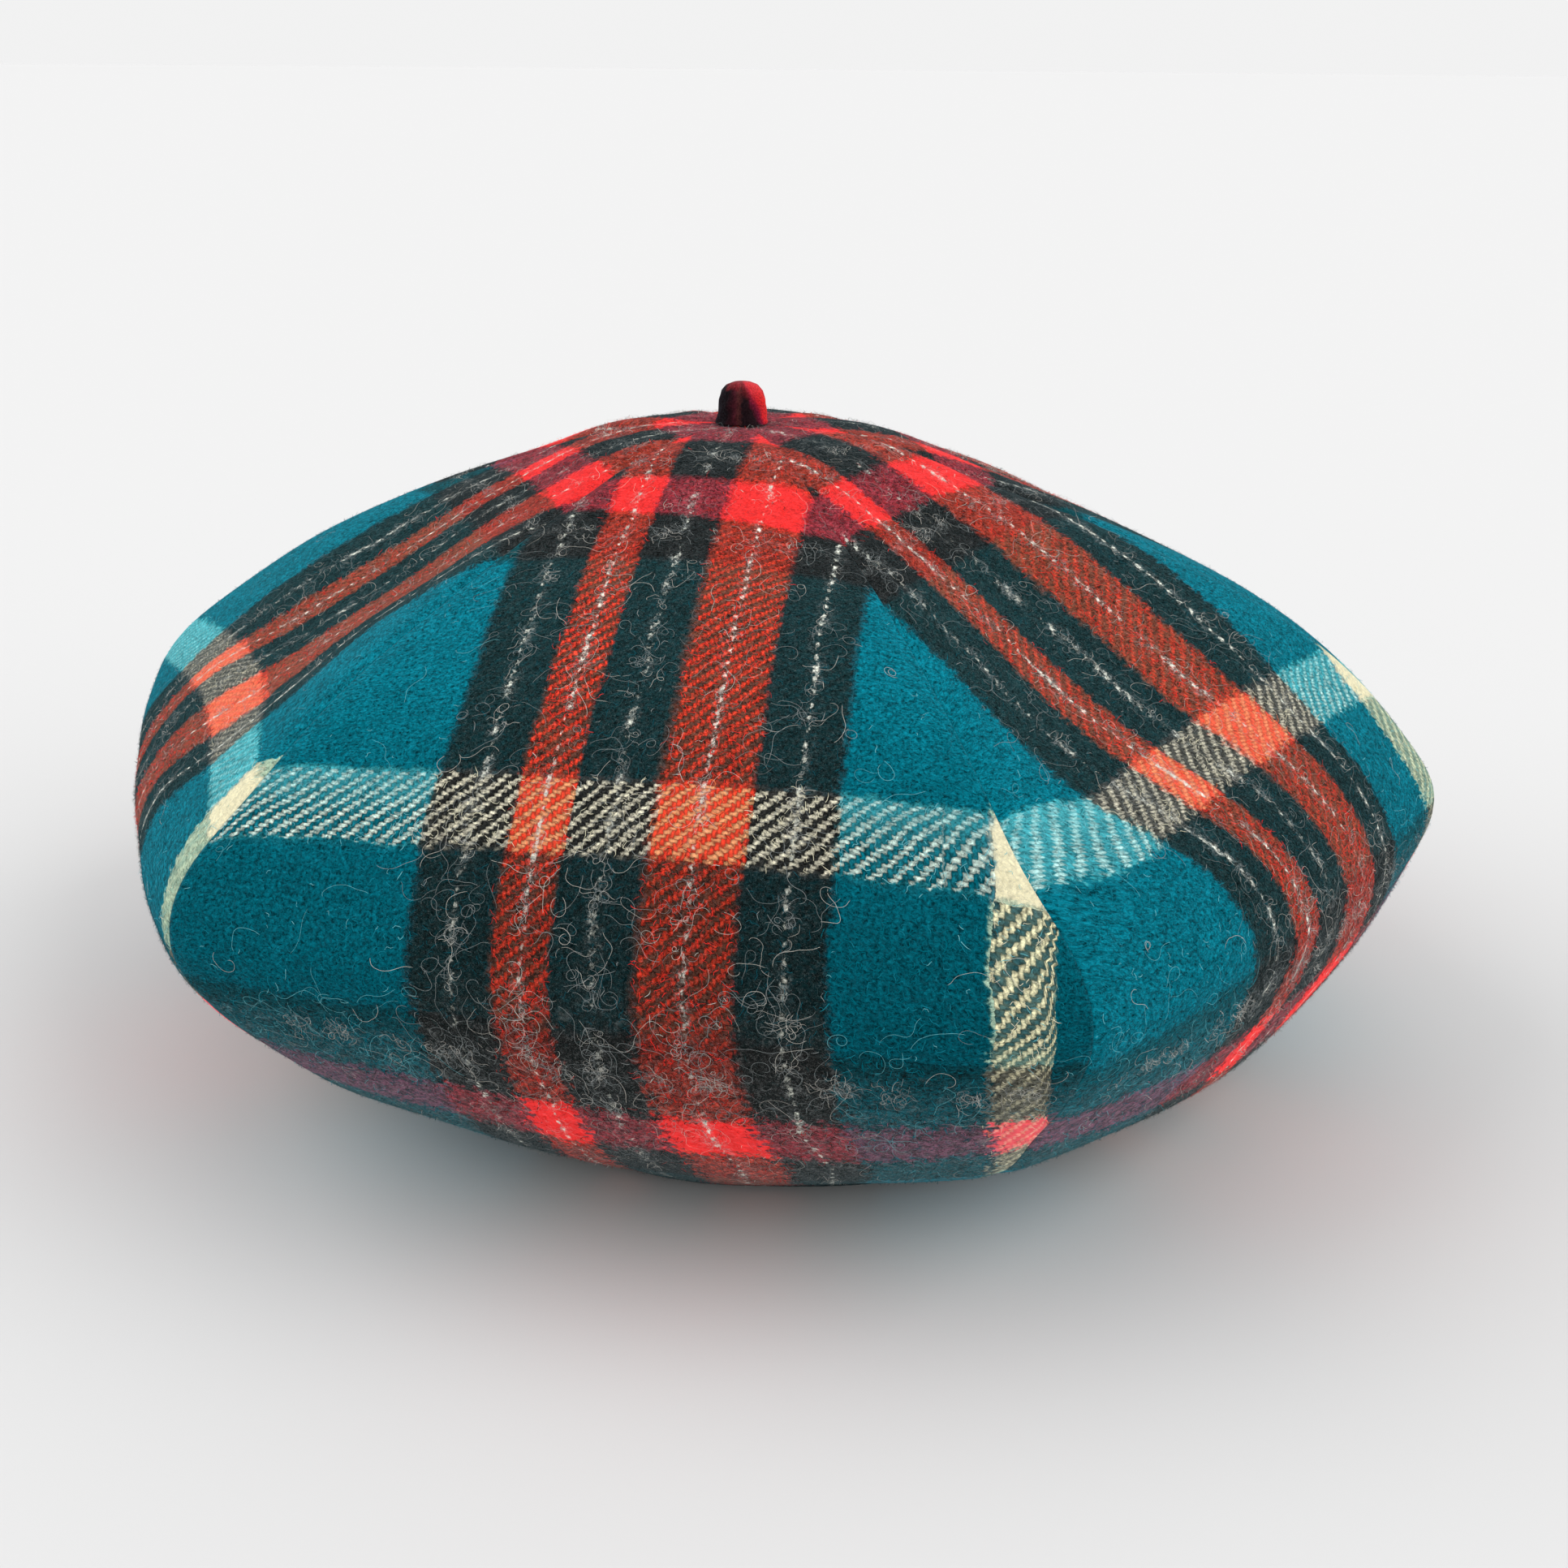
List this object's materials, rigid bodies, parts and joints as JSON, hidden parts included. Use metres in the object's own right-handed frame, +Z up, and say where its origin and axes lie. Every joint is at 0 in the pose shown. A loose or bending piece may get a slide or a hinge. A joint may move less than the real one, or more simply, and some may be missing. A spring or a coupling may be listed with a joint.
{
  "type": "tam o shanter",
  "caption": "Soft round tartan wool cap sewn from gores that meet under a short rolled stalk, with a wide overhanging crown and an open head hole edged by a hem.",
  "frame": {"origin": "centre of the part's box seen from above, on the surface that the hem stands on", "axes": "+Z up through the crown, -Y towards the pictured front, +X to the right as seen from the front"},
  "size_m": [0.2838, 0.2734, 0.1363],
  "materials": {
    "tartan_wool": "brushed twill wool, teal ground with red, dark green and cream tartan stripes",
    "stalk_wool": "brushed twill wool, rolled red and dark part of the tartan",
    "hem_wool": "brushed wool, dark green-black turned edge"
  },
  "bodies": {
    "root": {"gore_1": "tartan_wool", "gore_2": "tartan_wool", "gore_3": "tartan_wool", "gore_4": "tartan_wool", "gore_5": "tartan_wool", "gore_6": "tartan_wool", "hem": "hem_wool", "stalk": "stalk_wool"}
  },
  "joints": []
}
